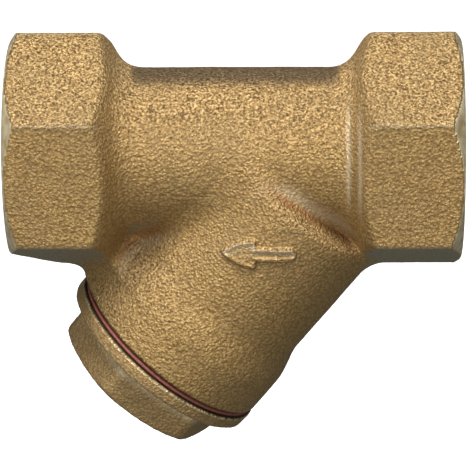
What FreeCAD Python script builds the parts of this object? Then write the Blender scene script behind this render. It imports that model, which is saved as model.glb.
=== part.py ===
"""Y strainer, G 3/4 female by female, cast gunmetal, with a screwed cap over a double screen.

All sizes are in millimetres.  The origin is the centre of the inlet port's face.  +X points out
of the inlet along the run, +Z is up, and the screen branch leans down and away from the inlet.
The branch pieces are drawn along their own +Z, the distance from the point where the branch axis
crosses the run axis, and are then laid over by the branch placement.
"""
import FreeCAD, Part
import math
import os

from FreeCAD import Base

V = Base.Vector

# ---------------------------------------------------------------- driving dimensions: the run
RUN_LENGTH = 70.0
HEX_AF = 34.4
HEX_CORNER_ROUND = 1.6
PARTING_FLAT_HALF = 18.85
PARTING_FLAT_ROUND = 1.2
HUB_LENGTH = 15.8
HUB_FACE_R = 17.0
HUB_CHAMFER_RISE = 2.6
HUB_CHAMFER_LENGTH = 1.75
HUB_BACK_R = 17.1
SHOULDER_TOP = (16.5, 16.1)
SHOULDER_TOP_ROUND = 2.0
SHOULDER_FOOT_X = 17.9
SHOULDER_FOOT_ROUND = 3.2
TUBE_R = 12.8
BORE_R = 10.0

# G 3/4 female thread, given by its bore at the crests
PORT_THREAD_R = 12.06
PORT_THREAD_LENGTH = 14.0

# ---------------------------------------------------------------- driving dimensions: the branch
BRANCH_ANGLE = 51.0
CROSSING_X = -19.2
BRANCH_TOP = 8.8
BRANCH_R = 15.65
BRANCH_TOP_ROUND = 1.8
BRANCH_WALL = 2.65
COLLAR_R = 17.0
COLLAR_START = 35.2
COLLAR_STEP = 6.0
COLLAR_STEP_ROUND = 12.0
SEAL_FACE = 41.75

# flow passages inside the casting
PASSAGE_R = 9.2
PARTITION_WALL = 2.7
SEAT_R = 10.2
SEAT_SHOULDER = 9.5
CHAMBER_TOP = 12.0

# cap thread, M28 x 2
PITCH = 2.0
FLANK_SLOPE = math.tan(math.radians(30.0))
FEMALE_MINOR_R = 13.05
FEMALE_MAJOR_R = 14.15
FEMALE_CREST_HALF = 0.14
MALE_MAJOR_R = 13.9
MALE_MINOR_R = 12.75
MALE_CREST_HALF = 0.16
RELIEF_R = 14.3
RELIEF_START = 32.7
RELIEF_LENGTH = 1.5
THREAD_MOUTH_R = 14.45
GROOVE_OVERLAP = 0.3

# ---------------------------------------------------------------- driving dimensions: the cap
JOINT_GAP = 0.1
GASKET_THICKNESS = 0.8
GASKET_OUTER_R = 16.85
GASKET_INNER_R = 14.6
CAP_FLANGE_R = 17.2
CAP_FLANGE_THICKNESS = 2.2
CAP_FLANGE_ROUND = 0.45
CAP_HEX_AF = 26.0
CAP_HEX_HEIGHT = 6.7
CAP_HEX_CHAMFER = 1.2
CAP_HEX_ROOT = 0.6
CAP_HEX_CLOCK = 24.0
CAP_SLEEVE_END = 35.2
CAP_UNDERCUT = 1.3
CAP_UNDERCUT_R = 12.6
CAP_SLEEVE_CHAMFER = 0.9
CAP_RECESS_R = 10.25
CAP_RECESS_BOTTOM = 43.6
CAP_RECESS_LEAD = 0.8

# ---------------------------------------------------------------- driving dimensions: the screen
SCREEN_GAP = 0.2
SUPPORT_OUTER_R = 9.6
SUPPORT_INNER_R = 9.1
MESH_OUTER_R = 9.05
MESH_INNER_R = 8.75
RING_OUTER_R = 10.0
RING_INNER_R = 8.35
RING_GROOVE_OUTER_R = 9.65
RING_GROOVE_INNER_R = 8.7
RING_HEIGHT = 3.5
RING_WEB = 0.4
RING_EDGE_ROUND = 0.25
SHEET_END_GAP = 0.1
HOLE_R = 1.3
HOLES_AROUND = 14
HOLE_ROWS = 7
HOLE_MARGIN = 0.6
SEAM_GAP = 0.25

# ---------------------------------------------------------------- driving dimensions: the arrow
ARROW_TIP_X = -36.5
ARROW_HEAD_LENGTH = 4.7
ARROW_HEAD_HALF = 2.15
ARROW_LENGTH = 10.9
ARROW_SHAFT_HALF = 1.0
ARROW_BOW_AT = 0.3
ARROW_BOW = 0.62
ARROW_Z = -11.6
ARROW_RAISE = 0.55

# ---------------------------------------------------------------- worked out from them
X_AXIS = V(1, 0, 0)
Y_AXIS = V(0, 1, 0)
Z_AXIS = V(0, 0, 1)
BRANCH_PLACE = Base.Placement(V(CROSSING_X, 0, 0), Base.Rotation(Y_AXIS, -(90.0 + BRANCH_ANGLE)))
CHAMBER_R = BRANCH_R - BRANCH_WALL
GASKET_TOP = SEAL_FACE + JOINT_GAP
FLANGE_FACE = GASKET_TOP + GASKET_THICKNESS + JOINT_GAP
HEX_FOOT = FLANGE_FACE + CAP_FLANGE_THICKNESS
CAP_END = HEX_FOOT + CAP_HEX_HEIGHT
SCREEN_TOP = SEAT_SHOULDER + SCREEN_GAP
SCREEN_END = CAP_RECESS_BOTTOM - SCREEN_GAP
CUT_MARGIN = 3.0


# ---------------------------------------------------------------- shared shapes
def turned(points, axis=Z_AXIS):
    """A solid of revolution from (distance along the axis, radius) points, closed on the axis."""
    def place(along, radius):
        return V(along, radius, 0) if axis is X_AXIS else V(radius, 0, along)
    first, last = points[0], points[-1]
    closed = [(first[0], 0.0)] + list(points) + [(last[0], 0.0)]
    corners = [place(*point) for point in closed]
    wire = Part.makePolygon(corners + corners[:1])
    return Part.Face(wire).revolve(V(0, 0, 0), axis, 360)


def tube(inner_r, outer_r, start, end):
    """A plain ring or tube along +Z."""
    outside = Part.makeCylinder(outer_r, end - start, V(0, 0, start))
    return outside.cut(Part.makeCylinder(inner_r, end - start, V(0, 0, start)))


def hexagon(across_flats, start, end, axis, turn_deg):
    """A hexagonal prism along an axis; turn_deg clocks its first corner."""
    corner_r = across_flats / math.sqrt(3.0)
    corners = []
    for step in range(7):
        angle = math.radians(turn_deg + 60.0 * step)
        a, b = corner_r * math.cos(angle), corner_r * math.sin(angle)
        corners.append(V(start, a, b) if axis is X_AXIS else V(a, b, start))
    return Part.Face(Part.makePolygon(corners)).extrude(axis * (end - start))


def edges_on_circle(shape, radius, axis, along=None):
    """The circular edges about an axis with this radius, at one place along it or at any."""
    found = []
    for edge in shape.Edges:
        curve = edge.Curve
        if isinstance(curve, Part.Circle) and abs(curve.Radius - radius) < 1e-4:
            if along is None or abs(curve.Center.dot(axis) - along) < 1e-4:
                found.append(edge)
    return found


def placed(shape):
    """A branch piece, laid over from its own +Z to the branch's axis."""
    shape.Placement = BRANCH_PLACE.multiply(shape.Placement)
    return shape


def thread_groove(top_r, root_r, top_half, root_half, start, end, shift):
    """The helical groove of a thread along +Z, from its mouth at top_r to its root at root_r."""
    helix = Part.makeHelix(PITCH, end - start, root_r)
    helix.translate(V(0, 0, start + shift))
    spine = Part.Wire(helix)
    corners = [
        V(root_r, 0, start + shift - root_half),
        V(root_r, 0, start + shift + root_half),
        V(top_r, 0, start + shift + top_half),
        V(top_r, 0, start + shift - top_half),
    ]
    profile = Part.makePolygon(corners + corners[:1])
    sweep = Part.BRepOffsetAPI.MakePipeShell(spine)
    sweep.setFrenetMode(True)
    sweep.add(profile)
    sweep.build()
    sweep.makeSolid()
    return sweep.shape()


# ---------------------------------------------------------------- the casting
def hub_outline():
    """Half of the run's turned outline, from a port face to where the shoulder meets the tube."""
    crest_r = HUB_FACE_R + HUB_CHAMFER_RISE
    return [
        (0.0, HUB_FACE_R),
        (HUB_CHAMFER_LENGTH, crest_r),
        (HUB_LENGTH - HUB_CHAMFER_LENGTH, crest_r),
        (HUB_LENGTH, HUB_BACK_R),
        SHOULDER_TOP,
        (SHOULDER_FOOT_X, TUBE_R),
    ]


def run_outside():
    """Both hexagonal hubs with their shoulders, and the tube between them."""
    near = hub_outline()
    outlet_side = [(along - RUN_LENGTH, radius) for along, radius in near]
    inlet_side = [(-along, radius) for along, radius in reversed(near)]
    revolved = turned(outlet_side + inlet_side, X_AXIS)
    revolved = revolved.makeFillet(SHOULDER_FOOT_ROUND, edges_on_circle(revolved, TUBE_R, X_AXIS))
    tops = edges_on_circle(revolved, SHOULDER_TOP[1], X_AXIS)
    revolved = revolved.makeFillet(SHOULDER_TOP_ROUND, tops)
    prism = hexagon(HEX_AF, -RUN_LENGTH, 0.0, X_AXIS, 90.0)
    trim = Part.makeBox(RUN_LENGTH, HEX_AF, 2.0 * PARTING_FLAT_HALF,
                        V(-RUN_LENGTH, -HEX_AF / 2.0, -PARTING_FLAT_HALF))
    prism = prism.common(trim)
    at_parting = []
    at_sides = []
    for edge in prism.Edges:
        if edge.Length > RUN_LENGTH - 1.0:
            height = abs(edge.Vertexes[0].Z)
            (at_parting if height > HEX_AF / 2.0 else at_sides).append(edge)
    prism = prism.makeFillet(HEX_CORNER_ROUND, at_sides).makeFillet(PARTING_FLAT_ROUND, at_parting)
    return revolved.common(prism)


def branch_outside():
    """The screen chamber's wall and its thicker collar, up to the sealing face."""
    points = [(BRANCH_TOP, BRANCH_R), (COLLAR_START - COLLAR_STEP, BRANCH_R)]
    points += [(COLLAR_START, COLLAR_R), (SEAL_FACE, COLLAR_R)]
    shell = turned(points)
    shell = shell.makeFillet(BRANCH_TOP_ROUND, edges_on_circle(shell, BRANCH_R, Z_AXIS, BRANCH_TOP))
    steps = edges_on_circle(shell, BRANCH_R, Z_AXIS, COLLAR_START - COLLAR_STEP)
    steps += edges_on_circle(shell, COLLAR_R, Z_AXIS, COLLAR_START)
    return shell.makeFillet(COLLAR_STEP_ROUND, steps)


def flow_arrow():
    """The raised flow arrow on the branch's front, which follows the branch's curve."""
    tip = V(ARROW_TIP_X, 0, ARROW_Z)
    back = ARROW_TIP_X + ARROW_HEAD_LENGTH
    tail = ARROW_TIP_X + ARROW_LENGTH
    bow_x = ARROW_TIP_X + ARROW_BOW_AT * ARROW_HEAD_LENGTH
    bow = ARROW_BOW * ARROW_HEAD_HALF
    up_back = V(back, 0, ARROW_Z + ARROW_HEAD_HALF)
    low_back = V(back, 0, ARROW_Z - ARROW_HEAD_HALF)
    up_neck = V(back, 0, ARROW_Z + ARROW_SHAFT_HALF)
    low_neck = V(back, 0, ARROW_Z - ARROW_SHAFT_HALF)
    round_x = tail - ARROW_SHAFT_HALF
    up_tail = V(round_x, 0, ARROW_Z + ARROW_SHAFT_HALF)
    low_tail = V(round_x, 0, ARROW_Z - ARROW_SHAFT_HALF)
    edges = [
        Part.Arc(tip, V(bow_x, 0, ARROW_Z + bow), up_back).toShape(),
        Part.makeLine(up_back, up_neck),
        Part.makeLine(up_neck, up_tail),
        Part.Arc(up_tail, V(tail, 0, ARROW_Z), low_tail).toShape(),
        Part.makeLine(low_tail, low_neck),
        Part.makeLine(low_neck, low_back),
        Part.Arc(low_back, V(bow_x, 0, ARROW_Z - bow), tip).toShape(),
    ]
    plate = Part.Face(Part.Wire(edges)).extrude(V(0, -(BRANCH_R + CUT_MARGIN), 0))
    return plate.common(placed(tube(CHAMBER_R, BRANCH_R + ARROW_RAISE, BRANCH_TOP, COLLAR_START)))


def port_bore(face_x, inward):
    """One port's thread bore, from just outside the face to its full depth."""
    return turned([
        (face_x - inward * CUT_MARGIN, PORT_THREAD_R),
        (face_x + inward * PORT_THREAD_LENGTH, PORT_THREAD_R),
    ], X_AXIS)


def inlet_elbow(wall, branch_end):
    """The bent way from the inlet bore down into the branch, or with its wall around it."""
    length = -CROSSING_X - PORT_THREAD_LENGTH
    along_run = Part.makeCylinder(BORE_R + wall, length, V(CROSSING_X, 0, 0), X_AXIS)
    corner = Part.makeSphere(BORE_R + wall, V(CROSSING_X, 0, 0))
    down = placed(Part.makeCylinder(PASSAGE_R + wall, branch_end))
    return along_run.fuse([corner, down])


def chamber_void():
    """The screen chamber, from the screen's seat to the threaded mouth of the collar."""
    mouth_depth = THREAD_MOUTH_R - FEMALE_MINOR_R
    relief_end = RELIEF_START + RELIEF_LENGTH
    points = [
        (SEAT_SHOULDER, SEAT_R),
        (CHAMBER_TOP, SEAT_R),
        (CHAMBER_TOP, CHAMBER_R),
        (RELIEF_START, CHAMBER_R),
        (RELIEF_START, RELIEF_R),
        (relief_end, RELIEF_R),
        (relief_end, FEMALE_MINOR_R),
        (SEAL_FACE - mouth_depth, FEMALE_MINOR_R),
        (SEAL_FACE, THREAD_MOUTH_R),
        (SEAL_FACE + CUT_MARGIN, THREAD_MOUTH_R),
    ]
    return turned(points)


def female_groove():
    """The groove of the collar's thread, which runs out into the relief and the mouth."""
    depth = FEMALE_MAJOR_R - FEMALE_MINOR_R
    root_half = PITCH / 2.0 - FEMALE_CREST_HALF - depth * FLANK_SLOPE
    top_half = root_half + (depth + GROOVE_OVERLAP) * FLANK_SLOPE
    start = RELIEF_START + PITCH / 2.0
    end = SEAL_FACE + PITCH
    mouth_r = FEMALE_MINOR_R - GROOVE_OVERLAP
    return thread_groove(mouth_r, FEMALE_MAJOR_R, top_half, root_half, start, end, 0.0)


def body():
    """The casting: hubs, tube, branch and arrow, with the ports, the seat and the partition."""
    outside = run_outside().fuse([placed(branch_outside()), flow_arrow()])
    inlet_way = inlet_elbow(0.0, CHAMBER_TOP)
    wall = inlet_elbow(PARTITION_WALL, CHAMBER_TOP)
    outlet_length = RUN_LENGTH - PORT_THREAD_LENGTH + CROSSING_X
    outlet_way = Part.makeCylinder(BORE_R, outlet_length, V(CROSSING_X - outlet_length, 0, 0), X_AXIS)
    voids = [
        port_bore(0.0, -1.0),
        port_bore(-RUN_LENGTH, 1.0),
        inlet_way,
        outlet_way.cut(wall),
        placed(chamber_void()),
        placed(female_groove()),
    ]
    return outside.cut(voids).removeSplitter()


# ---------------------------------------------------------------- the cap and its gasket
def male_groove():
    """The groove of the cap's thread, half a pitch from the collar's groove."""
    depth = MALE_MAJOR_R - MALE_MINOR_R
    root_half = PITCH / 2.0 - MALE_CREST_HALF - depth * FLANK_SLOPE
    top_half = root_half + (depth + GROOVE_OVERLAP) * FLANK_SLOPE
    start = RELIEF_START + PITCH / 2.0
    end = FLANGE_FACE - PITCH
    shift = PITCH / 2.0
    mouth_r = MALE_MAJOR_R + GROOVE_OVERLAP
    return thread_groove(mouth_r, MALE_MINOR_R, top_half, root_half, start, end, shift)


def cap():
    """The screwed cap: threaded sleeve, round flange and hexagonal head."""
    undercut_start = FLANGE_FACE - CAP_UNDERCUT
    sleeve = turned([
        (CAP_SLEEVE_END, MALE_MAJOR_R - CAP_SLEEVE_CHAMFER),
        (CAP_SLEEVE_END + CAP_SLEEVE_CHAMFER, MALE_MAJOR_R),
        (undercut_start - CAP_SLEEVE_CHAMFER, MALE_MAJOR_R),
        (undercut_start, CAP_UNDERCUT_R),
        (FLANGE_FACE, CAP_UNDERCUT_R),
    ]).cut(male_groove())
    flange = Part.makeCylinder(CAP_FLANGE_R, CAP_FLANGE_THICKNESS, V(0, 0, FLANGE_FACE))
    rims = edges_on_circle(flange, CAP_FLANGE_R, Z_AXIS, FLANGE_FACE)
    rims += edges_on_circle(flange, CAP_FLANGE_R, Z_AXIS, HEX_FOOT)
    flange = flange.makeFillet(CAP_FLANGE_ROUND, rims)
    corner_r = CAP_HEX_AF / math.sqrt(3.0)
    head_r = corner_r - CAP_HEX_CHAMFER / math.tan(math.radians(30.0))
    head = hexagon(CAP_HEX_AF, HEX_FOOT - CAP_HEX_ROOT, CAP_END, Z_AXIS, -90.0 + CAP_HEX_CLOCK)
    head = head.common(turned([
        (HEX_FOOT - CAP_HEX_ROOT, corner_r + 1.0),
        (CAP_END - CAP_HEX_CHAMFER, corner_r),
        (CAP_END, head_r),
    ]))
    recess = turned([
        (CAP_SLEEVE_END - CUT_MARGIN, CAP_RECESS_R + CAP_RECESS_LEAD),
        (CAP_SLEEVE_END, CAP_RECESS_R + CAP_RECESS_LEAD),
        (CAP_SLEEVE_END + CAP_RECESS_LEAD, CAP_RECESS_R),
        (CAP_RECESS_BOTTOM, CAP_RECESS_R),
    ])
    return sleeve.fuse([flange, head]).cut(recess).removeSplitter()


def cap_gasket():
    """The flat sealing ring between the collar and the cap's flange."""
    return tube(GASKET_INNER_R, GASKET_OUTER_R, GASKET_TOP, GASKET_TOP + GASKET_THICKNESS)


# ---------------------------------------------------------------- the screen
def end_ring(closed_at, opening):
    """A pressed channel ring that grips both screen sheets; opening is +1 or -1 along the axis."""
    low = min(closed_at, closed_at + opening * RING_HEIGHT)
    ring = tube(RING_INNER_R, RING_OUTER_R, low, low + RING_HEIGHT)
    rims = edges_on_circle(ring, RING_OUTER_R, Z_AXIS, closed_at)
    ring = ring.makeFillet(RING_EDGE_ROUND, rims)
    groove_low = low + RING_WEB if opening > 0 else low
    groove = tube(
        RING_GROOVE_INNER_R, RING_GROOVE_OUTER_R, groove_low, groove_low + RING_HEIGHT - RING_WEB
    )
    return ring.cut(groove)


def sheet_span():
    """Where both screen sheets start and end, inside the two rings."""
    return SCREEN_TOP + RING_WEB + SHEET_END_GAP, SCREEN_END - RING_WEB - SHEET_END_GAP


def screen_support():
    """The perforated tube, rolled from sheet with a butt seam, with staggered holes."""
    start, end = sheet_span()
    wall = tube(SUPPORT_INNER_R, SUPPORT_OUTER_R, start, end)
    first = SCREEN_TOP + RING_HEIGHT + HOLE_R + HOLE_MARGIN
    last = SCREEN_END - RING_HEIGHT - HOLE_R - HOLE_MARGIN
    cutters = []
    for row in range(HOLE_ROWS):
        height = first + (last - first) * row / (HOLE_ROWS - 1)
        for column in range(HOLES_AROUND):
            angle = 2.0 * math.pi * (column + 0.5 * (row % 2) + 0.25) / HOLES_AROUND
            outward = V(math.cos(angle), math.sin(angle), 0)
            base = outward * (SUPPORT_INNER_R - CUT_MARGIN / 2.0) + V(0, 0, height)
            cutters.append(Part.makeCylinder(HOLE_R, CUT_MARGIN, base, outward))
    seam_corner = V(SUPPORT_INNER_R - CUT_MARGIN / 2.0, -SEAM_GAP / 2.0, start)
    cutters.append(Part.makeBox(CUT_MARGIN, SEAM_GAP, end - start, seam_corner))
    return wall.cut(cutters)


def fine_mesh():
    """The fine woven sleeve inside the perforated tube, as the plain tube it fills."""
    start, end = sheet_span()
    return tube(MESH_INNER_R, MESH_OUTER_R, start, end)


# ---------------------------------------------------------------- one STEP per piece
PIECES = {
    "body": body,
    "cap": lambda: placed(cap()),
    "cap_gasket": lambda: placed(cap_gasket()),
    "screen_support": lambda: placed(screen_support()),
    "fine_mesh": lambda: placed(fine_mesh()),
    "screen_upper_ring": lambda: placed(end_ring(SCREEN_TOP, 1)),
    "screen_lower_ring": lambda: placed(end_ring(SCREEN_END, -1)),
}

os.makedirs("parts", exist_ok=True)
for name, make in PIECES.items():
    shape = make()
    solids = shape.Solids
    print(name, "solids", len(solids), "valid", shape.isValid(), "volume", round(shape.Volume, 1))
    shape.exportStep("parts/" + name + ".step")
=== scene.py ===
import math

import bmesh
import bpy
import numpy as np
from mathutils import Matrix, Vector


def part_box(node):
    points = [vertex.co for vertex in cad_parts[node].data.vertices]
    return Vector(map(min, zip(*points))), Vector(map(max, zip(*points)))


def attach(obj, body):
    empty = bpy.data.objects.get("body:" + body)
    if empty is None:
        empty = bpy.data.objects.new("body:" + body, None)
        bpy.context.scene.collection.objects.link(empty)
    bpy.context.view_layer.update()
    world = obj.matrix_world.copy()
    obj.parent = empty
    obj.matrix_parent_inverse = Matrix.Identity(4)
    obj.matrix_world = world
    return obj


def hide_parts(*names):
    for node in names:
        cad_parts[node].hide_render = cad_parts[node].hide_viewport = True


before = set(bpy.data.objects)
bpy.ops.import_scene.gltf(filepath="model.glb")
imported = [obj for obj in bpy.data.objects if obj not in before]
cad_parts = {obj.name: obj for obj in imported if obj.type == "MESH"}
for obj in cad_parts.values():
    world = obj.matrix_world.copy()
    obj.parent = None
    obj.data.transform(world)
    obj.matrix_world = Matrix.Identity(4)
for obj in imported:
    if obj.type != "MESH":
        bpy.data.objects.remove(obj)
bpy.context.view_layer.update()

MM = 0.001

# ------------------------------------------------------------------ sizes, in millimetres
# the run, along X from the outlet's face to the inlet's
LOW, HIGH = (np.array(corner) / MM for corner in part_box("body"))
RUN_LENGTH = HIGH[0] - LOW[0]
HALF_FLATS = HIGH[1]
PARTING_HALF = HIGH[2]
TUBE_R = 12.8
BORE_R = 10.0
PORT_ROOT_R = 13.22
PORT_CREST_R = 12.06
PORT_PITCH = 1.814
PORT_DEPTH = 14.0
PORT_MOUTH_R = 13.9
TUBE_FILLET = 2.6
# a hub's turned chamfer and the shoulder behind its flats: corners as inward and radius
HUB_EDGE = 0.5
PARTING_EDGE = 1.2
CHAMFER_EDGE = 0.25
HUB_CHAMFER = ((0.0, 17.0), (1.75, 19.6))
HUB_SHOULDER = ((14.05, 19.7), (15.8, 17.1), (16.5, 16.1), (17.9, 12.8))
SHOULDER_ROUNDS = (0.9, 1.0, 1.5)
# the branch, along its own axis from where it crosses the run's
CROSSING = np.array((-19.2, 0.0, 0.0))
BRANCH_ANGLE = math.radians(51.0)
BRANCH_TOP = 8.8
BRANCH_R = 15.65
COLLAR_R = 17.0
COLLAR_RISE = (28.7, 35.7)
SEAL_FACE = 41.75
PASSAGE_R = 9.2
WALL = 2.7
SEAT_R = 10.2
SEAT_SHOULDER = 9.5
CHAMBER_TOP = 12.0
CHAMBER_R = 13.0
RELIEF_R = 14.3
RELIEF = (32.7, 34.2)
# the fillet between run and branch, and what it gains and loses by place
FILLET = 3.6
FILLET_WEB = 2.4
FILLET_TIGHT = 1.6
# the cap's thread and the cap
PITCH = 2.0
FLANK = math.tan(math.radians(30.0))
COLLAR_ROOT_R = 14.15
COLLAR_CREST_R = 13.05
COLLAR_MOUTH_R = 14.45
COLLAR_CREST_HALF = 0.14
THREAD_ZERO = 33.7
CAP_ROOT_R = 12.75
CAP_CREST_R = 13.9
CAP_CREST_HALF = 0.16
FLANGE_FACE = 42.75
FLANGE_R = 17.2
FLANGE_HALF = 1.1
FLANGE_END = 44.95
HEAD_END = 51.65
HEAD_FLATS = 13.0
HEAD_EDGE = 1.2
HEAD_CHAMFER = 1.2
HEAD_CLOCK = math.radians(24.0)
SLEEVE_END = 35.2
RECESS_R = 10.25
RECESS_END = 43.6
# the gasket's two faces, inner and outer radius, and the woven sleeve
GASKET = (41.85, 42.65, 14.6, 16.85)
SCREEN_SPAN = (10.2, 42.9)
MESH_R = 8.9
WIRE_R = 0.085
WIRE_LIFT = 0.088
# the arrow on the branch's front
ARROW_TIP = np.array((-36.5, -11.6))
ARROW_HEAD = 4.7
ARROW_LENGTH = 10.9
ARROW_HEAD_HALF = 2.15
ARROW_SHAFT_HALF = 1.0
ARROW_RAISE = 0.65
ARROW_FLOOR = 0.35
ARROW_MIDDLE = ARROW_TIP[0] + ARROW_LENGTH / 2.0

DOWN_BRANCH = np.array((-math.cos(BRANCH_ANGLE), 0.0, -math.sin(BRANCH_ANGLE)))
ACROSS_BRANCH = np.array((-math.sin(BRANCH_ANGLE), 0.0, math.cos(BRANCH_ANGLE)))
# the sand grain: how many waves, and the shortest and longest of them
FINE_GRAIN = (60, 0.7, 1.2)
BODY_ROLL = (16, 3.0, 9.0)
CAP_ROLL = (16, 3.0, 8.0)
# the step of the grid that the shapes are sampled on, and a distance well away from any surface
GRID = 0.3
FAR = 9.0


# ------------------------------------------------------------------ solid shapes as distances
def soft_min(a, b, width):
    """The nearer of two distances, with a fillet of about this width where they meet."""
    share = np.clip(0.5 + 0.5 * (b - a) / width, 0.0, 1.0)
    return b + (a - b) * share - width * share * (1.0 - share)


def soft_max(a, b, width):
    """The further of two distances, with a rounded edge of about this width where they meet."""
    return -soft_min(-a, -b, width)


def beyond(along, radius, start, end):
    """Distance outside the cone that the line from start to end, in (along, radius), sweeps."""
    run, rise = end[0] - start[0], end[1] - start[1]
    size = math.hypot(run, rise)
    return ((radius - start[1]) * run - (along - start[0]) * rise) / size


def hexagon(a, b, half_flats, clock):
    """Distances outside a hexagon's three pairs of sides; a corner is at this angle."""
    sides = []
    for step in range(3):
        angle = clock + math.radians(30.0 + 60.0 * step)
        sides.append(np.abs(a * math.cos(angle) + b * math.sin(angle)) - half_flats)
    return sides


def smooth_step(x, low, high):
    """0 below low, 1 above high and a smooth rise between."""
    t = np.clip((x - low) / (high - low), 0.0, 1.0)
    return t * t * (3.0 - 2.0 * t)


def stripe(x, middle, width):
    """A soft stripe: 1 at its middle, fading over this width."""
    return np.exp(-(((x - middle) / width) ** 2))


def run_frame(p):
    """Each point's distance in from the nearer port face and away from the run's axis."""
    inward = RUN_LENGTH / 2.0 - np.abs(p[:, 0] + RUN_LENGTH / 2.0)
    return inward, np.hypot(p[:, 1], p[:, 2])


def branch_frame(p):
    """Each point's distance along the branch and away from its axis."""
    q = p - CROSSING
    along = q @ DOWN_BRANCH
    return along, np.hypot(q @ ACROSS_BRANCH, q[:, 1])


def hub_distance(inward, p, radius):
    """A hexagonal hub: flats, parting-line flats, a turned chamfer and the shoulder behind it."""
    slant = math.sin(math.radians(60.0))
    hub = np.abs(p[:, 1]) - HALF_FLATS
    for sign in (1.0, -1.0):
        hub = soft_max(hub, np.abs(p[:, 1] * 0.5 + sign * p[:, 2] * slant) - HALF_FLATS, HUB_EDGE)
    hub = soft_max(hub, np.abs(p[:, 2]) - PARTING_HALF, PARTING_EDGE)
    hub = soft_max(hub, beyond(inward, radius, *HUB_CHAMFER), CHAMFER_EDGE)
    for start, end, rounding in zip(HUB_SHOULDER, HUB_SHOULDER[1:], SHOULDER_ROUNDS):
        hub = soft_max(hub, beyond(inward, radius, start, end), rounding)
    return hub


def arrow_distance(x, z):
    """Distance outside the arrow's outline: a bowed head and a shaft with a round end."""
    ahead = x - ARROW_TIP[0]
    across = np.abs(z - ARROW_TIP[1])
    bow_r = ((ARROW_HEAD + 0.5) ** 2 + ARROW_HEAD_HALF ** 2) / (2.0 * ARROW_HEAD_HALF)
    head = np.hypot(ahead - ARROW_HEAD, across + bow_r - ARROW_HEAD_HALF) - bow_r
    head = soft_max(head, ahead - ARROW_HEAD, 0.5)
    tail = ARROW_LENGTH - ARROW_SHAFT_HALF
    shaft = np.hypot(ahead - np.clip(ahead, ARROW_HEAD - 1.0, tail), across) - ARROW_SHAFT_HALF
    return soft_min(head, shaft, 0.3)


def fillet_width(p):
    """The fillet between run and branch: wide under the outlet's hub, tight under the inlet's."""
    low = smooth_step(-p[:, 2], 9.0, 15.0)
    web = smooth_step(-p[:, 0], 44.0, 51.0) * low
    tight = smooth_step(p[:, 0], -26.0, -16.0)
    return FILLET + FILLET_WEB * web - FILLET_TIGHT * tight


def arrow_height(p):
    """How far the arrow stands out of the branch's front: a rounded rim around a lower floor."""
    height = np.zeros(len(p))
    near = (p[:, 1] < -8.0) & (np.abs(p[:, 2] - ARROW_TIP[1]) < 4.0)
    near &= np.abs(p[:, 0] - ARROW_MIDDLE) < 7.5
    inside = -arrow_distance(p[near, 0], p[near, 2])
    rim = smooth_step(inside, -0.3, 0.2) - ARROW_FLOOR * smooth_step(inside, 0.3, 0.75)
    height[near] = ARROW_RAISE * rim
    return height


def run_and_branch(p):
    """The distances from the run with its hubs and from the branch with its collar."""
    inward, radius = run_frame(p)
    run = soft_min(hub_distance(inward, p, radius), radius - TUBE_R, TUBE_FILLET)
    along, away = branch_frame(p)
    wall = away - BRANCH_R - (COLLAR_R - BRANCH_R) * smooth_step(along, *COLLAR_RISE)
    return run, soft_max(wall, BRANCH_TOP - along, 1.5)


def casting_outside(p):
    """The casting's outside with its arrow, cut off at the collar's face and both port faces."""
    inward = run_frame(p)[0]
    along = branch_frame(p)[0]
    run, branch = run_and_branch(p)
    body = soft_min(run, branch, fillet_width(p)) - arrow_height(p)
    body = soft_max(body, along - SEAL_FACE, 0.3)
    return soft_max(body, -inward, 0.2)


def elbow(p, along, away, radius, wall):
    """The bent inlet way, or with its wall around it."""
    run = np.maximum(radius - BORE_R - wall, CROSSING[0] - p[:, 0])
    corner = np.linalg.norm(p - CROSSING, axis=1) - BORE_R - wall
    down = np.maximum(np.maximum(away - PASSAGE_R - wall, -along), along - CHAMBER_TOP)
    return np.minimum(soft_min(run, corner, 1.0), down)


def casting_inside(p):
    """The casting's hollow: ports, bent inlet way, outlet way, seat, chamber and collar."""
    inward, radius = run_frame(p)
    along, away = branch_frame(p)
    port = np.maximum(radius - PORT_ROOT_R, inward - PORT_DEPTH)
    port = np.minimum(port, np.maximum(radius + inward - PORT_MOUTH_R, inward - PORT_DEPTH))
    inlet = elbow(p, along, away, radius, 0.0)
    outlet = np.maximum(radius - BORE_R, p[:, 0] - CROSSING[0])
    outlet = soft_max(outlet, -elbow(p, along, away, radius, WALL), 1.2)
    seat = np.maximum(away - SEAT_R, SEAT_SHOULDER - along)
    chamber = np.maximum(away - CHAMBER_R, CHAMBER_TOP - along)
    thread = np.maximum(away - COLLAR_ROOT_R, RELIEF[0] - along)
    bell = np.maximum(away - COLLAR_MOUTH_R + (SEAL_FACE - along), RELIEF[1] - along)
    hollow = np.minimum(np.minimum(port, inlet), np.minimum(outlet, seat))
    hollow = np.minimum(hollow, soft_min(chamber, outlet, 1.0))
    return np.minimum(hollow, np.minimum(thread, bell))


def casting_distance(p):
    """The whole casting."""
    return np.maximum(casting_outside(p), -casting_inside(p))


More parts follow.
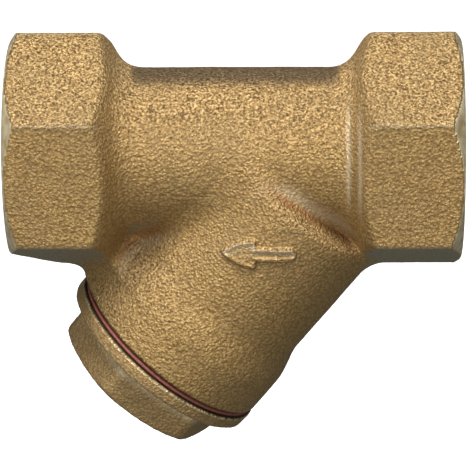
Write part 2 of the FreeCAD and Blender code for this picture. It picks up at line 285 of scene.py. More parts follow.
def cap_distance(p):
    """The cap in its own frame: +Z along the branch, X across it."""
    away = np.hypot(p[:, 0], p[:, 1])
    along = p[:, 2]
    sides = hexagon(p[:, 0], p[:, 1], HEAD_FLATS, -math.pi / 2.0 + HEAD_CLOCK)
    head = soft_max(soft_max(sides[0], sides[1], HEAD_EDGE), sides[2], HEAD_EDGE)
    corner = (HEAD_END - HEAD_CHAMFER, HEAD_FLATS / math.cos(math.radians(30.0)))
    chamfer = beyond(along, away, corner, (HEAD_END, HEAD_FLATS - 0.1))
    head = soft_max(soft_max(head, chamfer, 0.5), along - HEAD_END, 0.6)
    head = np.maximum(head, FLANGE_FACE + 0.5 - along)
    flange = np.abs(along - (FLANGE_FACE + FLANGE_END) / 2.0) - FLANGE_HALF
    flange = soft_max(away - FLANGE_R, flange, 0.35)
    cap = soft_min(head, flange, 0.5)
    sleeve = np.maximum(away - CAP_ROOT_R, np.maximum(SLEEVE_END - along, along - FLANGE_END))
    lead = ((SLEEVE_END - 0.2, CAP_ROOT_R - 0.8), (SLEEVE_END + 0.6, CAP_ROOT_R))
    sleeve = soft_max(sleeve, beyond(along, away, *lead), 0.2)
    cap = np.minimum(cap, sleeve)
    recess = np.maximum(away - RECESS_R, along - RECESS_END)
    recess = np.minimum(recess, away - RECESS_R - 0.8 + (along - SLEEVE_END))
    return np.maximum(cap, -recess)


# ------------------------------------------------------------------ meshes from the distances
def sampled(distance, low, shape, step):
    """The distance at every grid point, worked out in full only in blocks near the surface."""
    block = 12

    def grid_points(counts):
        axes = np.meshgrid(*[np.arange(count) for count in counts], indexing="ij")
        return np.stack(axes, -1).reshape(-1, 3)

    def window(corner):
        return tuple(slice(c, c + block + 1) for c in corner)

    counts = [math.ceil((n - 1) / block) for n in shape]
    field = np.full([c * block + 1 for c in counts], FAR, np.float32)
    corners = grid_points(counts) * block
    local = grid_points([block + 1] * 3)
    depth = distance(low + (corners + block / 2.0) * step)
    near = np.abs(depth) <= block * step
    for corner, d in zip(corners[~near], depth[~near]):
        field[window(corner)] = math.copysign(FAR, d)
    for corner in corners[near]:
        values = distance(low + (corner + local) * step)
        field[window(corner)] = values.reshape([block + 1] * 3)
    return field


def surface_of(distance, low, high, step):
    """Points and four-cornered faces on the distance's zero surface."""
    low = np.array(low, float) - 2.0 * step
    shape = [math.ceil((h - l) / step) + 3 for h, l in zip(high, low)]
    field = sampled(distance, low, shape, step)
    total = np.zeros([n - 1 for n in field.shape] + [3], np.float32)
    count = np.zeros([n - 1 for n in field.shape], np.float32)
    crossings = []
    for axis in range(3):
        near = [slice(None)] * 3
        far = [slice(None)] * 3
        near[axis], far[axis] = slice(None, -1), slice(1, None)
        a, b = field[tuple(near)], field[tuple(far)]
        cross = (a < 0.0) != (b < 0.0)
        at = np.argwhere(cross)
        va, vb = a[cross], b[cross]
        points = at.astype(np.float32)
        points[:, axis] += va / (va - vb)
        crossings.append((axis, at, va < 0.0))
        others = [k for k in range(3) if k != axis]
        for i in (0, 1):
            for j in (0, 1):
                cell = at.copy()
                cell[:, others[0]] -= i
                cell[:, others[1]] -= j
                fits = ((cell >= 0) & (cell < total.shape[:3])).all(1)
                where = tuple(cell[fits].T)
                np.add.at(total, where, points[fits])
                np.add.at(count, where, 1.0)
    used = count > 0.0
    number = np.full(count.shape, -1, np.int64)
    number[used] = np.arange(used.sum())
    points = low + step * (total[used] / count[used][:, None])
    faces = []
    for axis, at, entering in crossings:
        u, v = [k for k in range(3) if k != axis]
        fits = (at[:, u] > 0) & (at[:, v] > 0)
        at, entering = at[fits], entering[fits]
        ring = []
        for i, j in ((0, 0), (1, 0), (1, 1), (0, 1)):
            cell = at.copy()
            cell[:, u] -= i
            cell[:, v] -= j
            ring.append(number[tuple(cell.T)])
        quad = np.stack(ring, 1)
        flip = entering if axis != 1 else ~entering
        quad[~flip] = quad[~flip][:, ::-1]
        faces.append(quad)
    return points, np.vstack(faces)


def slope_of(distance, points, step=0.02):
    """How fast the distance grows along X, Y and Z at each point."""
    slope = np.empty_like(points)
    for axis in range(3):
        shift = np.zeros(3)
        shift[axis] = step
        slope[:, axis] = (distance(points + shift) - distance(points - shift)) / (2.0 * step)
    return slope


def outward_of(distance, points):
    """The direction straight out of the surface at each point."""
    slope = slope_of(distance, points)
    return slope / np.maximum(np.linalg.norm(slope, axis=1, keepdims=True), 1e-6)


def settled(distance, points, step):
    """The points moved onto the surface, by no more than half a grid step."""
    for _ in range(2):
        depth = distance(points)
        slope = slope_of(distance, points)
        move = slope * (depth / np.maximum((slope ** 2).sum(1), 0.25))[:, None]
        size = np.linalg.norm(move, axis=1, keepdims=True)
        points = points - move * np.minimum(1.0, 0.5 * step / np.maximum(size, 1e-9))
    return points


def sand_grain(points, seed, waves, shortest, longest):
    """A smooth random relief from 0 to 1, from waves in random directions."""
    rng = np.random.default_rng(seed)
    relief = np.zeros(len(points))
    for _ in range(waves):
        direction = rng.normal(size=3)
        direction /= np.linalg.norm(direction)
        turns = 2.0 * math.pi / rng.uniform(shortest, longest)
        relief += np.sin(points @ direction * turns + rng.uniform(0.0, 2.0 * math.pi))
    return 0.5 + 0.5 * np.clip(relief / math.sqrt(2.0 * waves), -1.0, 1.0)


def thread_ridge(root, crest, root_half, crest_half, start, turns, pitch, zero, fade):
    """A closed helical ridge along +Z, in phase with the height zero.

    root_half and crest_half are half its widths there. It grows over the first number of
    turns in fade and shrinks over the second.
    """
    per_turn = 72
    steps = int(turns * per_turn)
    points = []
    faces = []
    sign = 1 if crest > root else -1
    buried = root - sign * 0.15
    for i in range(steps + 1):
        turn = i / per_turn
        grow = max(0.02, min(1.0, turn / fade[0], (turns - turn) / fade[1]))
        top = root + (crest - root) * grow
        half = root_half + (crest_half - root_half) * grow
        angle = 2.0 * math.pi * (turn + (start - zero) / pitch)
        along = start + turn * pitch
        section = [(buried, root_half), (root, root_half), (top, half)]
        section += [(r, -a) for r, a in reversed(section)]
        for r, a in section:
            points.append((r * math.cos(angle), r * math.sin(angle), along + a))
    sides = len(section)
    for i in range(steps):
        for k in range(sides):
            a = i * sides + k
            b = i * sides + (k + 1) % sides
            faces.append((a, b, b + sides, a + sides)[::sign])
    faces.append(tuple(range(sides))[::-sign])
    faces.append(tuple(steps * sides + k for k in range(sides))[::sign])
    return np.array(points), faces


# ------------------------------------------------------------------ placing pieces
def from_branch(points):
    """Points from the branch's own frame to the part's."""
    across = points[:, 0:1] * ACROSS_BRANCH
    sideways = points[:, 1:2] * np.array((0.0, 1.0, 0.0))
    return CROSSING + across + sideways + points[:, 2:3] * DOWN_BRANCH


def piece(name, points, faces, attributes=None):
    """A mesh object from points in millimetres in the part's frame."""
    mesh = bpy.data.meshes.new(name)
    mesh.from_pydata((np.asarray(points) * MM).tolist(), [], [list(map(int, f)) for f in faces])
    for key, values in (attributes or {}).items():
        layer = mesh.attributes.new(key, "FLOAT", "POINT")
        layer.data.foreach_set("value", np.asarray(values, np.float32))
    mesh.polygons.foreach_set("use_smooth", [True] * len(mesh.polygons))
    mesh.update()
    obj = bpy.data.objects.new(name, mesh)
    bpy.context.scene.collection.objects.link(obj)
    return obj


def joined(parts):
    """Several (points, faces) as one."""
    points, faces, base = [], [], 0
    for p, f in parts:
        points.append(np.asarray(p, float))
        faces += [[int(i) + base for i in face] for face in f]
        base += len(p)
    return np.vstack(points), faces


def lathe(outline, around):
    """A closed ring about +Z from a closed (away, along) outline."""
    points, faces = [], []
    n = len(outline)
    for i in range(around):
        angle = 2.0 * math.pi * i / around
        for away, along in outline:
            points.append((away * math.cos(angle), away * math.sin(angle), along))
        for k in range(n):
            a, b = i * n + k, i * n + (k + 1) % n
            c, d = ((i + 1) % around) * n + (k + 1) % n, ((i + 1) % around) * n + k
            faces.append((a, b, c, d))
    return np.array(points), faces


# ------------------------------------------------------------------ pieces
def sharpen_arrow(body):
    """Smaller faces around the arrow, so that its rim comes out crisp."""
    # the patch's half sizes, in metres, and the mean depth of the grain around it, in millimetres
    patch = (0.0065, 0.004, 0.0032)
    patch_and_rim = (0.0067, 0.004, 0.0034)
    grain_depth = 0.055
    centre = Vector((ARROW_MIDDLE, -13.0, ARROW_TIP[1])) * MM

    def within(place, reach):
        return all(abs(offset) < limit for offset, limit in zip(place - centre, reach))

    mesh = bmesh.new()
    mesh.from_mesh(body.data)
    inside = [e for e in mesh.edges if within((e.verts[0].co + e.verts[1].co) / 2.0, patch)]
    bmesh.ops.subdivide_edges(mesh, edges=inside, cuts=2, use_grid_fill=True)
    fresh = [v for v in mesh.verts if within(v.co, patch_and_rim)]
    points = np.array([v.co[:] for v in fresh]) / MM
    points = settled(casting_distance, points, GRID)
    points -= outward_of(casting_distance, points) * grain_depth
    for vert, point in zip(fresh, points):
        vert.co = Vector(point) * MM
    mesh.to_mesh(body.data)
    mesh.free()


def machined(points):
    """How far each point of the casting is turned or cut metal, from 0 to 1.

    Each cut reaches a little past its size, because the points lie on a grid.
    """
    inward, radius = run_frame(points)
    along, away = branch_frame(points)
    bores = (radius < PORT_ROOT_R + 0.7) & (inward < PORT_DEPTH + 0.2)
    chamfers = (np.abs(beyond(inward, radius, *HUB_CHAMFER)) < 0.12) & (inward < 1.9)
    collar_face = (along > SEAL_FACE - 0.15) & (away < COLLAR_R - 0.5)
    collar_bore = (along > RELIEF[0] - 0.3) & (away < RELIEF_R + 0.2)
    seat = (along > SEAT_SHOULDER - 0.3) & (along < CHAMBER_TOP + 0.3)
    seat &= np.abs(away - SEAT_R) < 0.3
    port_faces = smooth_step(-inward, -0.25, 0.0)
    cut = bores | chamfers | collar_face | collar_bore | seat
    return np.clip(port_faces + cut, 0.0, 1.0)


def painted_crease_and_sheen(points):
    """Painted shade brown along the creases and a greyish painted sheen, each from 0 to 1."""
    inward, radius = run_frame(points)
    x, y, z = points.T
    run, branch = run_and_branch(points)
    nearer = run - branch
    # the front's lower half, clear of the hubs and of the branch's middle
    front = (casting_outside(points) > -0.4) * smooth_step(-y, 3.0, 8.0)
    front *= smooth_step(inward, 16.0, 18.0) * smooth_step(-z, -1.0, 3.0)
    front *= smooth_step(np.abs(x + 38.0), 4.0, 12.0)
    right = smooth_step(x, -34.0, -26.0)
    # painted shade: brown darkening along the valley between run and branch
    crease = front * stripe(nearer + 0.9 * (1.0 - right), 0.0, 1.4 - 0.7 * right)
    # painted highlight: a greyish band on the fillet beside the brown one
    bank = nearer + 2.2 * right - 1.3 * (1.0 - right)
    fillet_sheen = front * stripe(bank, 0.0, 1.2) * (0.4 + 0.15 * right)
    # painted highlights: the inlet hub's foot, the hubs' long edges and the arrow rim's upper side
    foot = stripe(inward, 17.6, 0.35) + stripe(inward, 15.9, 0.3)
    foot *= (x > -RUN_LENGTH / 2.0) & (radius > 11.0)
    foot *= smooth_step(z, -8.0, 0.0) * smooth_step(-z, -13.0, -6.0)
    flats = np.sort(np.stack(hexagon(y, z, HALF_FLATS, math.pi / 2.0), 1), 1)
    edges = stripe(flats[:, 2] - flats[:, 1], 0.0, 0.3) * (inward < 15.0) * (radius > 18.0)
    rim = smooth_step(arrow_height(points) / ARROW_RAISE, 0.55, 0.95) * (z > ARROW_TIP[1] - 0.3)
    return crease, np.clip(fillet_sheen + 0.9 * foot + 0.35 * edges + 0.8 * rim, 0.0, 1.0)


def shaded(points, upper):
    """Painted shade, from 0 to 1: dark lines on top of the tube and around the collar's face."""
    inward, radius = run_frame(points)
    along, away = branch_frame(points)
    top = smooth_step(upper, 0.9, 0.99) * (radius < 16.5) * (inward > 15.0)
    return np.maximum(top, (along > SEAL_FACE - 0.2) & (away > 16.2))


def port_threads():
    """The cut pipe thread in each port: ridges that stand into the bore."""
    half = PORT_PITCH / 2.0 - 0.12
    crest_half = half - (PORT_ROOT_R - PORT_CREST_R) * FLANK * 0.9
    parts = []
    for face_x, sign in ((0.0, -1.0), (-RUN_LENGTH, 1.0)):
        ridge, rings = thread_ridge(PORT_ROOT_R, PORT_CREST_R, half, crest_half, start=1.4,
                                    turns=6.0, pitch=PORT_PITCH, zero=0.0, fade=(0.8, 0.3))
        placed = (face_x + sign * ridge[:, 2], ridge[:, 0], sign * ridge[:, 1])
        parts.append((np.stack(placed, 1), rings))
    return parts


def collar_thread():
    """The thread inside the collar, which holds the cap."""
    root_half = COLLAR_CREST_HALF + (COLLAR_ROOT_R - COLLAR_CREST_R) * FLANK
    ridge, rings = thread_ridge(COLLAR_ROOT_R, COLLAR_CREST_R, root_half, COLLAR_CREST_HALF,
                                start=RELIEF[1] + 0.8, turns=2.9, pitch=PITCH,
                                zero=THREAD_ZERO + PITCH / 2.0, fade=(0.3, 0.6))
    return from_branch(ridge), rings


def make_body():
    """The casting, with its sand grain, and the pipe and cap threads as cut metal."""
    points, faces = surface_of(casting_distance, LOW - 0.5, HIGH + 0.5, GRID)
    points = settled(casting_distance, points, GRID)
    outward = outward_of(casting_distance, points)
    dressed = machined(points)
    # painted shade along the creases and a painted sheen, kept as masks
    crease, wash = painted_crease_and_sheen(points)
    upper = outward[:, 2] * (1.0 - dressed)
    masks = {"upper": upper, "shade": shaded(points, upper), "crease": crease, "wash": wash}
    fine = sand_grain(points, 11, *FINE_GRAIN)
    rolling = sand_grain(points, 12, *BODY_ROLL)
    depth = (0.04 * fine + 0.05 * rolling) * (1.0 - dressed) * (1.0 - 0.6 * wash)
    points = points - outward * depth[:, None]
    all_points, all_faces = joined([(points, faces), *port_threads(), collar_thread()])
    threads = len(all_points) - len(points)
    masks = {name: np.concatenate((mask, np.zeros(threads))) for name, mask in masks.items()}
    masks["dressed"] = np.concatenate((dressed, np.ones(threads)))
    masks["turning"] = np.hypot(all_points[:, 1], all_points[:, 2]) * MM
    body = piece("cast_body", all_points, all_faces, masks)
    sharpen_arrow(body)
    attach(body, "body")
    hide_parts("body")
    return body


def make_cap():
    """The cap: cast hexagonal head, turned flange and threaded sleeve."""
    step = GRID * 0.9
    low, high = (-FLANGE_R, -FLANGE_R, SLEEVE_END), (FLANGE_R, FLANGE_R, HEAD_END)
    points, faces = surface_of(cap_distance, low, high, step)
    points = settled(cap_distance, points, step)
    away = np.hypot(points[:, 0], points[:, 1])
    turned = 1.0 * (points[:, 2] < FLANGE_FACE + 0.3)
    turned[(away > 16.0) & (points[:, 2] > FLANGE_FACE + 0.1)] *= 0.5
    fine = sand_grain(points, 21, *FINE_GRAIN)
    rolling = sand_grain(points, 22, *CAP_ROLL)
    depth = (0.07 * fine + 0.12 * rolling) * (1.0 - turned)
    points = points - outward_of(cap_distance, points) * depth[:, None]
    root_half = CAP_CREST_HALF + (CAP_CREST_R - CAP_ROOT_R) * FLANK
    ridge, rings = thread_ridge(CAP_ROOT_R, CAP_CREST_R, root_half, CAP_CREST_HALF,
                                start=SLEEVE_END + 0.9, turns=2.3, pitch=PITCH,
                                zero=THREAD_ZERO, fade=(0.5, 0.4))
    all_points, all_faces = joined([(points, faces), (ridge, rings)])
    cut = np.concatenate((turned, np.ones(len(ridge))))
    away = np.hypot(all_points[:, 0], all_points[:, 1])
    along = all_points[:, 2]
    # painted highlight: a light stripe on the head near its foot
    foot = 0.6 * stripe(along - FLANGE_END, 1.3, 0.7) * (away < 16.0)
    # painted shade: a dark rim on the flange's face, next to the gasket
    joint_shade = 1.0 * (along < FLANGE_FACE + 0.08) * (away > 16.2)
    none = np.zeros(len(all_points))
    masks = {"dressed": cut * (1.0 - joint_shade), "turning": away * MM, "shade": joint_shade, "wash": foot,
             "crease": none, "upper": none}
    cap = piece("screwed_cap", from_branch(all_points), all_faces, masks)
    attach(cap, "cap")
    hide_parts("cap")
    return cap


def make_gasket():
    """The flat fibre ring, with its edges a little rounded and its rim bulged by the squeeze."""
    start, end, inner, outer = GASKET
    middle, half = (start + end) / 2.0, (end - start) / 2.0
    squeezed = outer - 0.75

    def arc(first, away, bulge, rise):
        for i in range(9):
            angle = math.radians(first + 180.0 * i / 8)
            outline.append((away + bulge * math.cos(angle), middle + rise * math.sin(angle)))

    outline = [(squeezed, middle - half)]
    arc(-90.0, outer - 0.3, 0.18, 0.62 * half)
    outline.append((squeezed, middle + half))
    arc(90.0, inner + 0.16, 0.16, half)
    points, faces = lathe(outline, 240)
    gasket = piece("fibre_gasket", from_branch(points), faces)
    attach(gasket, "screen_set")
    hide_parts("cap_gasket")
    return gasket


def wire_tubes(lines, closed, thickness, sides):
    """Round wires along lines of points, each an array of points along it."""
    parts = []
    for line in lines:
        n = len(line)
        ahead = np.roll(line, -1, 0) - np.roll(line, 1, 0)
        if not closed:
            ahead[0], ahead[-1] = line[1] - line[0], line[-1] - line[-2]
        ahead /= np.linalg.norm(ahead, axis=1, keepdims=True)
        outward = line * np.array((1.0, 1.0, 0.0))
        outward /= np.linalg.norm(outward, axis=1, keepdims=True)
        outward -= ahead * (outward * ahead).sum(1, keepdims=True)
        outward /= np.linalg.norm(outward, axis=1, keepdims=True)
        side = np.cross(ahead, outward)
        turns = (2.0 * np.pi * np.arange(sides) / sides)[None, :, None]
        around = np.cos(turns) * outward[:, None] + np.sin(turns) * side[:, None]
        rings = line[:, None] + thickness * around
        last = n if closed else n - 1
        i, k = np.meshgrid(np.arange(last), np.arange(sides), indexing="ij")
        a, b = i * sides + k, i * sides + (k + 1) % sides
        c, d = ((i + 1) % n) * sides + (k + 1) % sides, ((i + 1) % n) * sides + k
        faces = np.stack((a, b, c, d), -1).reshape(-1, 4).tolist()
        if not closed:
            faces.append(list(range(sides))[::-1])
            faces.append([(n - 1) * sides + k for k in range(sides)])
        parts.append((rings.reshape(-1, 3), faces))
    return joined(parts)


def make_woven_mesh():
    """The fine sleeve: plain-woven wire, hoops over and under the lengthwise wires."""
    wire_sides = 5
    count = 92
    start, end = SCREEN_SPAN
    pitch = 2.0 * math.pi * MESH_R / count
    hoops = int((end - start - 0.4) / pitch)
    lines = []
    angle = 2.0 * np.pi * np.arange(2 * count) / (2 * count)
    for h in range(hoops):
        wave = MESH_R + WIRE_LIFT * np.cos(np.pi * np.arange(2 * count) / 2.0 + math.pi * h)
        along = np.full(2 * count, start + 0.2 + pitch * (h + 0.5))
        lines.append(np.stack((wave * np.cos(angle), wave * np.sin(angle), along), 1))
    hoop_wires = wire_tubes(lines, True, WIRE_R, wire_sides)
    lines = []
    steps = np.arange(2 * hoops + 1)
    for c in range(count):
        turn = 2.0 * math.pi * c / count
        wave = MESH_R - WIRE_LIFT * np.cos(np.pi * (steps - 1) / 2.0 + math.pi * c)
        along = start + 0.2 + pitch * steps / 2.0
        lines.append(np.stack((wave * math.cos(turn), wave * math.sin(turn), along), 1))
    points, faces = joined([hoop_wires, wire_tubes(lines, False, WIRE_R, wire_sides)])
    woven = piece("woven_sleeve", from_branch(points), faces)
    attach(woven, "screen_set")
    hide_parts("fine_mesh")
    return woven


# ------------------------------------------------------------------ finishes
class Tone:
    """A shader socket that can be added, multiplied and so on."""

    def __init__(self, finish, socket):
        self.finish = finish
        self.socket = socket

    def maths(self, operation, first, second):
        return self.finish.add("ShaderNodeMath", {"operation": operation}, {0: first, 1: second})

    def __add__(self, other):
        return self.maths("ADD", self, other)

    __radd__ = __add__

    def __sub__(self, other):
        return self.maths("SUBTRACT", self, other)

    def __rsub__(self, other):
        return self.maths("SUBTRACT", other, self)

    def __mul__(self, other):
        return self.maths("MULTIPLY", self, other)

    __rmul__ = __mul__


class Finish:
    """A node material, built one node at a time."""

    def __init__(self, name):
        self.material = bpy.data.materials.new(name)
        self.material.use_nodes = True
        self.tree = self.material.node_tree
        self.shader = self.tree.nodes["Principled BSDF"]

    def put(self, socket, value):
        if isinstance(value, Tone):
            self.tree.links.new(value.socket, socket)
        else:
            socket.default_value = value

    def add(self, kind, settings=None, inputs=None, output=0):
        """One node: its settings are set first, then its sockets' values or links."""
        node = self.tree.nodes.new(kind)
        for key, value in (settings or {}).items():
            if key == "stops":
                ramp = node.color_ramp
                while len(ramp.elements) < len(value):
                    ramp.elements.new(0.5)
                for element, (place, colour) in zip(ramp.elements, value):
                    element.position = place
                    element.color = colour
            else:
                setattr(node, key, value)
        for key, value in (inputs or {}).items():
            self.put(node.inputs[key], value)
        return Tone(self, node.outputs[output])

    def mask(self, name):
        return self.add("ShaderNodeAttribute", {"attribute_name": name}, None, "Fac")

    def noise(self, scale, detail=2.0, roughness=0.5, vector=None):
        inputs = {"Scale": scale, "Detail": detail, "Roughness": roughness}
        inputs["Vector"] = vector or self.place()
        return self.add("ShaderNodeTexNoise", None, inputs, "Fac")

    def place(self):
        return self.add("ShaderNodeTexCoord", None, None, "Object")

    def mix(self, share, first, second):
        settings = {"data_type": "RGBA"}
        return self.add("ShaderNodeMix", settings, {0: share, 6: first, 7: second}, 2)

    def ramp(self, value, stops):
        return self.add("ShaderNodeValToRGB", {"stops": stops}, {"Fac": value}, "Color")

    def spread(self, value, low, high, start=0.0, end=1.0):
        """The value's range from low to high, spread over start to end and held there."""
        inputs = {"Value": value, "From Min": low, "From Max": high, "To Min": start, "To Max": end}
        return self.add("ShaderNodeMapRange", {"clamp": True}, inputs, "Result")

    def bump(self, height, depth, strength=1.0, below=None):
        inputs = {"Height": height, "Distance": depth, "Strength": strength}
        if below is not None:
            inputs["Normal"] = below
        return self.add("ShaderNodeBump", None, inputs, "Normal")

    def surface(self, **values):
        for key, value in values.items():
            self.put(self.shader.inputs[key.replace("_", " ").title()], value)
        return self.material


def colour(r, g, b):
    """A colour from its usual 0 to 255 screen values."""
    def linear(c):
        c /= 255.0
        return c / 12.92 if c <= 0.04045 else ((c + 0.055) / 1.055) ** 2.4
    return (linear(r), linear(g), linear(b), 1.0)


BRONZE_DARK = colour(128, 100, 58)
BRONZE = colour(164, 134, 82)
BRONZE_LIGHT = colour(190, 160, 106)
# painted shadow in the grain's pits, painted lit tops and painted glints, on faces that look up
BRONZE_PIT_SHADOW = colour(60, 42, 22)
BRONZE_TOP_LIT = colour(156, 124, 76)
BRONZE_GLINT = colour(214, 182, 128)
# painted shade, for the dark lines
BRONZE_SHADE = colour(44, 36, 28)
BRONZE_STAIN = colour(134, 112, 76)
# painted light: the grey-green of undersides lit by the room
BRONZE_UNDERSIDE_LIGHT = colour(128, 134, 122)
# painted shade, brown, for the creases
BRONZE_CREASE_SHADE = colour(132, 84, 44)
# painted sheen: greyish highlights
BRONZE_SHEEN = colour(196, 180, 150)
BRONZE_CUT = colour(176, 152, 110)
BRONZE_BRIGHT = colour(222, 204, 164)
# how fine the bronze's patterns are, per metre, and how deep its bumps are, in metres
GRAIN_SCALE = 2600.0
PEBBLE_SCALE = 2200.0
SPARKLE_SCALE = 2700.0
CUT_SCALE = 700.0
STAIN_SCALE = 110.0
TURNING_LINES = 42000.0
GRAIN_DEPTH = 0.0005
TURNING_DEPTH = 0.000006


def cast_bronze(name, shift, tint):
    """Sand-cast gunmetal, with the grain of the mould, and cleaner where it was turned or cut."""
    f = Finish(name)
    dressed, turning, crease = f.mask("dressed"), f.mask("turning"), f.mask("crease")
    wash, upper, shade = f.mask("wash"), f.mask("upper"), f.mask("shade")
    moved = {0: f.place(), 1: (shift, shift, shift)}
    place = f.add("ShaderNodeVectorMath", {"operation": "ADD"}, moved)
    # the mould's grain, as a height and as the speckle that comes with it
    grain = f.noise(GRAIN_SCALE, 3.0, 0.6, place)
    cells = {"Vector": place, "Scale": PEBBLE_SCALE, "Smoothness": 0.5}
    pebbles = f.add("ShaderNodeTexVoronoi", {"feature": "SMOOTH_F1"}, cells, "Distance")
    height = grain * 0.7 + (1.0 - pebbles) * 0.5
    speck = f.spread(height, 0.5, 1.0)
    base = f.ramp(speck, [(0.0, BRONZE_DARK), (0.5, BRONZE), (1.0, BRONZE_LIGHT)])
    # painted light and shade on the grain of faces that look up: pits in shadow, tops lit and
    # glinting
    fine = f.noise(SPARKLE_SCALE, 2.0, 0.55, place)
    grain_light_and_shade = f.ramp(fine, [(0.35, BRONZE_PIT_SHADOW), (0.51, BRONZE_TOP_LIT), (0.66, BRONZE_GLINT)])
    base = f.mix(f.spread(upper, 0.15, 0.75, 0.0, 0.85), base, grain_light_and_shade)
    # stains, then painted light: grey-green undersides as lit by the room, painted shade in dark
    # lines and creases, and a painted sheen
    stain = f.noise(STAIN_SCALE, 3.0, 0.6, place)
    base = f.mix(f.spread(stain, 0.4, 0.75, 0.0, 0.4), base, BRONZE_STAIN)
    base = f.mix(tint, base, BRONZE_STAIN)
    # painted light: faces that look down turn grey-green
    base = f.mix(f.spread(upper, -0.6, -0.9, 0.0, 0.6), base, BRONZE_UNDERSIDE_LIGHT)
    # painted shade: dark lines on top of the tube and around the collar's face
    base = f.mix(shade * 0.7, base, BRONZE_SHADE)
    # painted shade in the creases
    base = f.mix(crease * 0.75, base, BRONZE_CREASE_SHADE)
    # painted sheen: greyish highlights on fillets, edges and the arrow's rim
    base = f.mix(wash * 0.7, base, BRONZE_SHEEN)
    # turned and cut metal
    lines = f.add("ShaderNodeMath", {"operation": "SINE"}, {0: turning * TURNING_LINES})
    scuffs = f.noise(CUT_SCALE, 2.0, 0.5, place)
    base = f.mix(dressed, base, f.ramp(scuffs, [(0.3, BRONZE_CUT), (0.7, BRONZE_BRIGHT)]))
    skin = (height + 0.5 * fine) * (1.0 - 0.9 * dressed) * (1.0 - 0.5 * wash)
    skin = skin * f.spread(upper, 0.0, 0.7, 0.5, 1.3)
    bumps = f.bump(lines * dressed, TURNING_DEPTH, 0.6, f.bump(skin, GRAIN_DEPTH))
    rough = f.spread(speck, 0.0, 1.0, 0.62, 0.48) * (1.0 - dressed) + 0.3 * dressed
    return f.surface(base_color=base, metallic=0.6, roughness=rough, normal=bumps)


def gasket_fibre():
    """Pressed red-brown fibre with fine flecks."""
    f = Finish("pressed_fibre")
    flecks = f.noise(1600.0, 3.0, 0.7)
    base = f.ramp(flecks, [(0.3, colour(88, 42, 34)), (0.7, colour(130, 70, 56))])
    return f.surface(base_color=base, roughness=0.7, normal=f.bump(flecks, 0.00005))


def steel(name, dark, light, scale):
    """Stainless steel with faint scratches, finer at a larger scale."""
    f = Finish(name)
    depth = 0.00001
    scratches = f.noise(scale, 3.0, 0.6)
    base = f.ramp(scratches, [(0.3, dark), (0.7, light)])
    rough = f.spread(scratches, 0.3, 0.7, 0.25, 0.42)
    bumps = f.bump(scratches, depth)
    return f.surface(base_color=base, metallic=1.0, roughness=rough, normal=bumps)


def floor_finish():
    """A pale floor with a glow of its own, both a little cloudy."""
    f = Finish("pale_floor")
    cloud = f.noise(3.0, 2.0, 0.5)
    base = f.ramp(cloud, [(0.2, (0.86, 0.86, 0.87, 1.0)), (0.8, (0.9, 0.9, 0.9, 1.0))])
    glow = f.ramp(cloud, [(0.2, (0.96, 0.96, 0.97, 1.0)), (0.8, (1.0, 1.0, 1.0, 1.0))])
    return f.surface(base_color=base, roughness=0.8, emission_color=glow, emission_strength=0.9)


# ------------------------------------------------------------------ stage, light and camera
def camera():
    """The view from slightly above and a little towards the inlet."""
    middle = Vector((-0.5 * RUN_LENGTH * MM, 0, 0))
    distance, aside, below = 0.4503, 0.000175, 0.013484
    elevation, azimuth, roll = (math.radians(a) for a in (21.99, 1.77, -0.71))
    flat = Vector((math.sin(azimuth), -math.cos(azimuth), 0))
    back = flat * math.cos(elevation) + Vector((0, 0, math.sin(elevation)))
    right = Vector((math.cos(azimuth), math.sin(azimuth), 0))
    up = back.cross(right)
    tilt = Matrix.Rotation(roll, 3, back)
    right, up = tilt @ right, tilt @ up
    data = bpy.data.cameras.new("camera")
    data.sensor_width = 36.0
    data.lens = 220.9
    data.clip_start = 0.01
    eye = middle + back * distance - right * aside - up * below
    lens = bpy.data.objects.new("camera", data)
    lens.matrix_world = Matrix.Translation(eye) @ Matrix((right, up, back)).transposed().to_4x4()
    bpy.context.scene.collection.objects.link(lens)
    bpy.context.scene.camera = lens


def softbox(name, place, size, energy, tint=(1.0, 1.0, 1.0)):
    """A rectangular lamp that faces the part."""
    data = bpy.data.lights.new(name, "AREA")
    data.shape = "RECTANGLE"
    data.size, data.size_y = size
    data.energy = energy
    data.color = tint
    lamp = bpy.data.objects.new(name, data)
    target = Vector((-0.035, 0.0, -0.01))
    turn = (Vector(place) - target).to_track_quat("Z", "Y").to_matrix().to_4x4()
    lamp.matrix_world = Matrix.Translation(Vector(place)) @ turn
    bpy.context.scene.collection.objects.link(lamp)


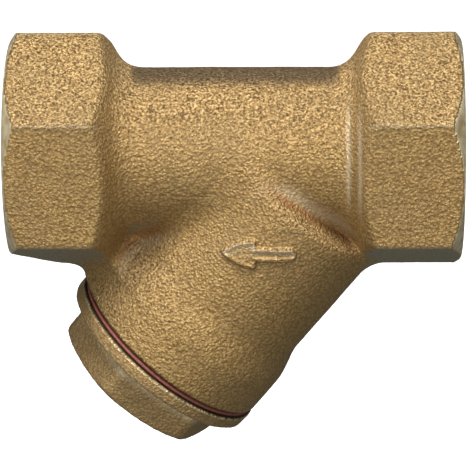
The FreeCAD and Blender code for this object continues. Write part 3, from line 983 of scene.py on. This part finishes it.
def stage():
    """A pale floor and wall well away, a dim room, and lamps above, in front and at the left."""
    half, height = 3.0, -0.2
    flat_end, bend, steps = 0.9, 0.5, 12
    profile = [(-half, height), (flat_end, height)]
    for step in range(1, steps + 1):
        angle = math.radians(90.0 * step / steps)
        rise = height + bend - bend * math.cos(angle)
        profile.append((flat_end + bend * math.sin(angle), rise))
    profile.append((flat_end + bend, half))
    points = [(x, y, z) for y, z in profile for x in (-half, half)]
    faces = [(2 * i, 2 * i + 1, 2 * i + 3, 2 * i + 2) for i in range(len(profile) - 1)]
    sweep = piece("pale_sweep", np.array(points) / MM, faces)
    sweep.data.materials.append(floor_finish())
    sweep.visible_glossy = False
    sweep.visible_diffuse = False
    world = bpy.data.worlds.new("room")
    world.use_nodes = True
    room = world.node_tree.nodes["Background"]
    room.inputs["Color"].default_value = (0.92, 1.0, 1.0, 1.0)
    room.inputs["Strength"].default_value = 0.16
    bpy.context.scene.world = world
    softbox("overhead", (-0.05, -0.15, 0.42), size=(0.42, 0.2), energy=4.9)
    softbox("front", (-0.04, -0.6, 0.05), size=(0.8, 0.5), energy=3.0)
    softbox("left", (-0.45, -0.3, 0.3), size=(0.12, 0.3), energy=1.2, tint=(0.96, 0.97, 1.0))
    bpy.context.scene.view_settings.view_transform = "Standard"


# ------------------------------------------------------------------ the scene
camera()
stage()
make_body().data.materials.append(cast_bronze("cast_bronze", 0.0, 0.0))
make_cap().data.materials.append(cast_bronze("cap_bronze", 0.3, 0.45))
make_gasket().data.materials.append(gasket_fibre())
wire = steel("woven_wire", colour(120, 118, 112), colour(176, 174, 168), 4000.0)
make_woven_mesh().data.materials.append(wire)
sheet = steel("perforated_sheet", colour(140, 138, 132), colour(190, 188, 182), 1200.0)
pressing = steel("pressed_ring", colour(150, 148, 142), colour(200, 198, 192), 900.0)
cad_finishes = {
    "screen_support": sheet,
    "screen_upper_ring": pressing,
    "screen_lower_ring": pressing,
}
for node, material in cad_finishes.items():
    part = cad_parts[node]
    part.data.materials.clear()
    part.data.materials.append(material)
